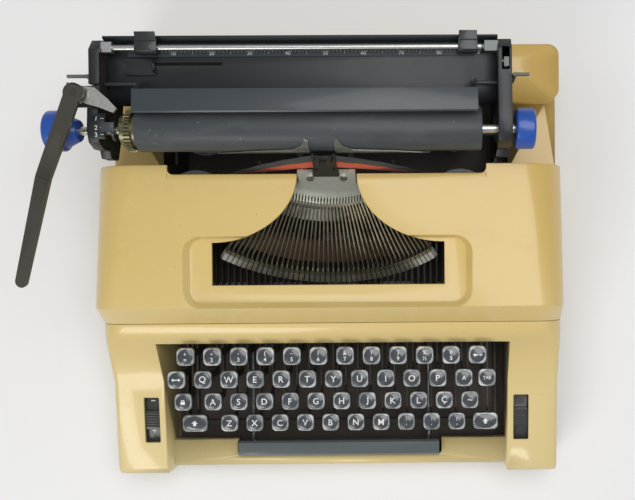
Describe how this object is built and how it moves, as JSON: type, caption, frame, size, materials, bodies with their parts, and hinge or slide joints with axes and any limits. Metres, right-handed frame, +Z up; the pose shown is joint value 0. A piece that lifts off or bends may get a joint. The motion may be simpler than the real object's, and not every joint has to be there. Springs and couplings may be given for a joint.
{
  "type": "portable typewriter",
  "caption": "Low portable manual typewriter: enamelled housing with rounded ribbon cover, four-row keyboard, fan of typebars, sliding carriage with rubber platen and bent return lever.",
  "frame": {"origin": "on the table, under the middle of the box round the whole machine with its return lever at rest", "axes": "+X along the platen to the right-hand knob, +Y from the keyboard to the carriage, +Z up"},
  "size_m": [0.3723, 0.32, 0.136],
  "materials": {
    "shell_paint": "satin mustard-cream enamel",
    "dark_steel": "dark painted sheet steel",
    "rubber": "matt",
    "bright_steel": "plain machined steel",
    "segment_steel": "machined steel",
    "type_steel": "oiled dark steel",
    "leather": "padded strip",
    "clear_grey": "smoked clear plastic",
    "ribbon": "inked cloth, dark above red",
    "spool": "dark moulded plastic",
    "black_plastic": "black moulded plastic",
    "grey_enamel": "dark grey enamel",
    "platen_rubber": "smooth dark grey rubber",
    "core": "turned",
    "brass": "tarnished",
    "knob_blue": "blue moulded plastic",
    "chrome": "polished",
    "key_plastic": "black caps with light rims and clear tops",
    "space_plastic": "dark glossy bar"
  },
  "bodies": {
    "frame": {"base_shell": "shell_paint", "ribbon_cover": "shell_paint", "bottom_plate": "dark_steel", "rubber_feet": "rubber", "chassis": "dark_steel", "carriage_rail": "bright_steel", "segment": "segment_steel", "pivot_wire": "bright_steel", "typebars": "type_steel", "type_rest": "leather", "type_guide": "bright_steel", "card_holder": "clear_grey", "ribbon": "ribbon", "key_fulcrum": "bright_steel", "bell": "bright_steel", "cover_screws": "bright_steel"},
    "carriage": {"carriage_frame": "grey_enamel", "end_cover_left": "grey_enamel", "end_cover_right": "grey_enamel", "paper_deflector": "grey_enamel", "paper_table": "grey_enamel", "margin_rod": "chrome"},
    "platen": {"platen": "platen_rubber", "platen_core": "core", "ratchet_wheel": "brass", "knob_left": "knob_blue", "knob_right": "knob_blue"},
    "ribbon_vibrator_body": {"ribbon_vibrator": "bright_steel"},
    "spool_left_body": {"spool_left": "spool"},
    "spool_right_body": {"spool_right": "spool"},
    "touch_slider_body": {"touch_slider": "black_plastic"},
    "ribbon_selector_body": {"ribbon_selector": "black_plastic"},
    "feed_rollers_body": {"feed_rollers": "rubber"},
    "paper_side_guide_body": {"paper_side_guide": "black_plastic"},
    "paper_bail_body": {"paper_bail": "grey_enamel"},
    "margin_stop_left_body": {"margin_stop_left": "black_plastic"},
    "margin_stop_right_body": {"margin_stop_right": "black_plastic"},
    "line_space_selector_body": {"line_space_selector": "grey_enamel"},
    "line_space_pawl_body": {"line_space_pawl": "bright_steel"},
    "return_lever_body": {"return_lever": "grey_enamel"},
    "paper_release_body": {"paper_release": "chrome"},
    "carriage_release_body": {"carriage_release": "chrome"},
    "space_bar_body": {"space_bar": "space_plastic"},
    "shift_key_left_body": {"shift_key_left": "key_plastic"},
    "shift_key_right_body": {"shift_key_right": "key_plastic"},
    "shift_lock_key_body": {"shift_lock_key": "key_plastic"},
    "backspace_key_body": {"backspace_key": "key_plastic"},
    "tab_key_body": {"tab_key": "key_plastic"},
    "margin_release_key_body": {"margin_release_key": "key_plastic"},
    "key_row_1_body": {"key_row_1": "key_plastic"},
    "key_row_2_body": {"key_row_2": "key_plastic"},
    "key_row_3_body": {"key_row_3": "key_plastic"},
    "key_row_4_body": {"key_row_4": "key_plastic"},
    "key_g_body": {"key_g": "key_plastic"},
    "key_h_body": {"key_h": "key_plastic"},
    "typebar_g_body": {"typebar_g": "type_steel"},
    "typebar_h_body": {"typebar_h": "type_steel"},
    "mainspring_drum_body": {"mainspring_drum": "bright_steel"},
    "escapement_wheel_body": {"escapement_wheel": "bright_steel"}
  },
  "joints": [
    {"name": "carriage_travel", "type": "slide", "parent": "frame", "child": "carriage", "axis": [1, 0, 0], "range_m": [-0.095, 0.105]},
    {"name": "platen_turn", "type": "hinge", "parent": "carriage", "child": "platen", "pos_m": [0.01914, 0.0902, 0.113], "axis": [1, 0, 0], "continuous": true},
    {"name": "feed_rollers_turn", "type": "hinge", "parent": "carriage", "child": "feed_rollers_body", "pos_m": [0.01914, 0.0902, 0.09345], "axis": [1, 0, 0], "continuous": true},
    {"name": "return_lever_swing", "type": "hinge", "parent": "carriage", "child": "return_lever_body", "pos_m": [-0.13786, 0.1115, 0.1347], "axis": [0, 0, 1], "range_deg": [0, 45], "stiffness_Nm_per_rad": 0.05, "springref_deg": -17.19},
    {"name": "line_space_pawl_drive", "type": "hinge", "parent": "carriage", "child": "line_space_pawl_body", "pos_m": [-0.13786, 0.1115, 0.1298], "axis": [0, 0, 1], "range_deg": [0, 14]},
    {"name": "line_space_select", "type": "hinge", "parent": "carriage", "child": "line_space_selector_body", "pos_m": [-0.11986, 0.0902, 0.113], "axis": [1, 0, 0], "range_deg": [-17, 17]},
    {"name": "paper_bail_lift", "type": "hinge", "parent": "carriage", "child": "paper_bail_body", "pos_m": [0.01914, 0.121, 0.114], "axis": [-1, 0, 0], "range_deg": [0, 50]},
    {"name": "margin_stop_left_set", "type": "slide", "parent": "carriage", "child": "margin_stop_left_body", "axis": [1, 0, 0], "range_m": [-0.012, 0.08]},
    {"name": "margin_stop_right_set", "type": "slide", "parent": "carriage", "child": "margin_stop_right_body", "axis": [1, 0, 0], "range_m": [-0.08, 0.003]},
    {"name": "paper_side_guide_set", "type": "slide", "parent": "carriage", "child": "paper_side_guide_body", "axis": [1, 0, 0], "range_m": [0, 0.044]},
    {"name": "paper_release_pull", "type": "hinge", "parent": "carriage", "child": "paper_release_body", "pos_m": [0.14114, 0.1322, 0.098], "axis": [-1, 0, 0], "range_deg": [0, 14]},
    {"name": "carriage_release_press", "type": "hinge", "parent": "carriage", "child": "carriage_release_body", "pos_m": [0.01914, 0.1255, 0.1], "axis": [1, 0, 0], "range_deg": [0, 14], "stiffness_Nm_per_rad": 0.08, "springref_deg": -17.19},
    {"name": "space_bar_press", "type": "hinge", "parent": "frame", "child": "space_bar_body", "pos_m": [0.01914, -0.03, 0.0124], "axis": [1, 0, 0], "range_deg": [0, 2.4], "stiffness_Nm_per_rad": 0.6, "springref_deg": -8.59},
    {"name": "shift_key_left_press", "type": "hinge", "parent": "frame", "child": "shift_key_left_body", "pos_m": [0.01914, 0.066, 0.024], "axis": [1, 0, 0], "range_deg": [0, 3.6], "stiffness_Nm_per_rad": 0.25, "springref_deg": -11.46},
    {"name": "shift_key_right_press", "type": "hinge", "parent": "frame", "child": "shift_key_right_body", "pos_m": [0.01914, 0.066, 0.024], "axis": [1, 0, 0], "range_deg": [0, 3.6], "stiffness_Nm_per_rad": 0.25, "springref_deg": -11.46},
    {"name": "shift_lock_key_press", "type": "hinge", "parent": "frame", "child": "shift_lock_key_body", "pos_m": [0.01914, 0.066, 0.024], "axis": [1, 0, 0], "range_deg": [0, 3.6], "stiffness_Nm_per_rad": 0.25, "springref_deg": -11.46},
    {"name": "backspace_key_press", "type": "hinge", "parent": "frame", "child": "backspace_key_body", "pos_m": [0.01914, 0.066, 0.024], "axis": [1, 0, 0], "range_deg": [0, 3.6], "stiffness_Nm_per_rad": 0.25, "springref_deg": -11.46},
    {"name": "tab_key_press", "type": "hinge", "parent": "frame", "child": "tab_key_body", "pos_m": [0.01914, 0.066, 0.024], "axis": [1, 0, 0], "range_deg": [0, 3.6], "stiffness_Nm_per_rad": 0.25, "springref_deg": -11.46},
    {"name": "margin_release_key_press", "type": "hinge", "parent": "frame", "child": "margin_release_key_body", "pos_m": [0.01914, 0.066, 0.024], "axis": [1, 0, 0], "range_deg": [0, 3.6], "stiffness_Nm_per_rad": 0.25, "springref_deg": -11.46},
    {"name": "key_row_1_press", "type": "hinge", "parent": "frame", "child": "key_row_1_body", "pos_m": [0.01914, 0.066, 0.024], "axis": [1, 0, 0], "range_deg": [0, 3.6], "stiffness_Nm_per_rad": 1.2, "springref_deg": -11.46},
    {"name": "key_row_2_press", "type": "hinge", "parent": "frame", "child": "key_row_2_body", "pos_m": [0.01914, 0.066, 0.024], "axis": [1, 0, 0], "range_deg": [0, 3.6], "stiffness_Nm_per_rad": 1.2, "springref_deg": -11.46},
    {"name": "key_row_3_press", "type": "hinge", "parent": "frame", "child": "key_row_3_body", "pos_m": [0.01914, 0.066, 0.024], "axis": [1, 0, 0], "range_deg": [0, 3.6], "stiffness_Nm_per_rad": 1.2, "springref_deg": -11.46},
    {"name": "key_row_4_press", "type": "hinge", "parent": "frame", "child": "key_row_4_body", "pos_m": [0.01914, 0.066, 0.024], "axis": [1, 0, 0], "range_deg": [0, 3.6], "stiffness_Nm_per_rad": 1.2, "springref_deg": -11.46},
    {"name": "key_g_press", "type": "hinge", "parent": "frame", "child": "key_g_body", "pos_m": [0.01914, 0.066, 0.024], "axis": [1, 0, 0], "range_deg": [0, 3.6], "stiffness_Nm_per_rad": 0.25, "springref_deg": -11.46},
    {"name": "key_h_press", "type": "hinge", "parent": "frame", "child": "key_h_body", "pos_m": [0.01914, 0.066, 0.024], "axis": [1, 0, 0], "range_deg": [0, 3.6], "stiffness_Nm_per_rad": 0.25, "springref_deg": -11.46},
    {"name": "typebar_g_strike", "type": "hinge", "parent": "frame", "child": "typebar_g_body", "pos_m": [0.01224, 0.04318, 0.07483], "axis": [-0.9928, 0.0634, 0.1014], "range_deg": [0, 139]},
    {"name": "typebar_h_strike", "type": "hinge", "parent": "frame", "child": "typebar_h_body", "pos_m": [0.02145, 0.04298, 0.07452], "axis": [0.9992, 0.0212, 0.0339], "range_deg": [-139, 0]},
    {"name": "ribbon_vibrator_lift", "type": "slide", "parent": "frame", "child": "ribbon_vibrator_body", "axis": [0, 0.5299, 0.848], "range_m": [0, 0.009], "stiffness_N_per_m": 20, "springref_m": -0.005},
    {"name": "spool_left_turn", "type": "hinge", "parent": "frame", "child": "spool_left_body", "pos_m": [-0.07336, 0.043, 0.08], "axis": [0, 0, 1], "continuous": true},
    {"name": "spool_right_turn", "type": "hinge", "parent": "frame", "child": "spool_right_body", "pos_m": [0.11164, 0.043, 0.08], "axis": [0, 0, 1], "continuous": true},
    {"name": "touch_slider_set", "type": "slide", "parent": "frame", "child": "touch_slider_body", "axis": [0, 1, 0], "range_m": [-0.008, 0.008]},
    {"name": "ribbon_selector_set", "type": "slide", "parent": "frame", "child": "ribbon_selector_body", "axis": [0, 1, 0], "range_m": [-0.008, 0.008]},
    {"name": "mainspring_turn", "type": "hinge", "parent": "frame", "child": "mainspring_drum_body", "pos_m": [-0.07686, 0.102, 0.05], "axis": [0, 0, 1], "range_deg": [-318.63, 318.63]},
    {"name": "escapement_turn", "type": "hinge", "parent": "frame", "child": "escapement_wheel_body", "pos_m": [0.01914, 0.118, 0.07395], "axis": [0, 1, 0], "range_deg": [-1242.16, 1242.16]}
  ],
  "couplings": [
    {"joint": "feed_rollers_turn", "follows": "platen_turn", "ratio": -2.85},
    {"joint": "line_space_pawl_drive", "follows": "return_lever_swing", "ratio": 0.3},
    {"joint": "shift_key_right_press", "follows": "shift_key_left_press", "ratio": 1},
    {"joint": "key_g_press", "follows": "typebar_g_strike", "ratio": 0.025873},
    {"joint": "key_h_press", "follows": "typebar_h_strike", "ratio": -0.025873},
    {"joint": "spool_right_turn", "follows": "spool_left_turn", "ratio": 1},
    {"joint": "mainspring_turn", "follows": "carriage_travel", "rad_per_m": -52.632},
    {"joint": "escapement_turn", "follows": "carriage_travel", "rad_per_m": 206.14}
  ]
}
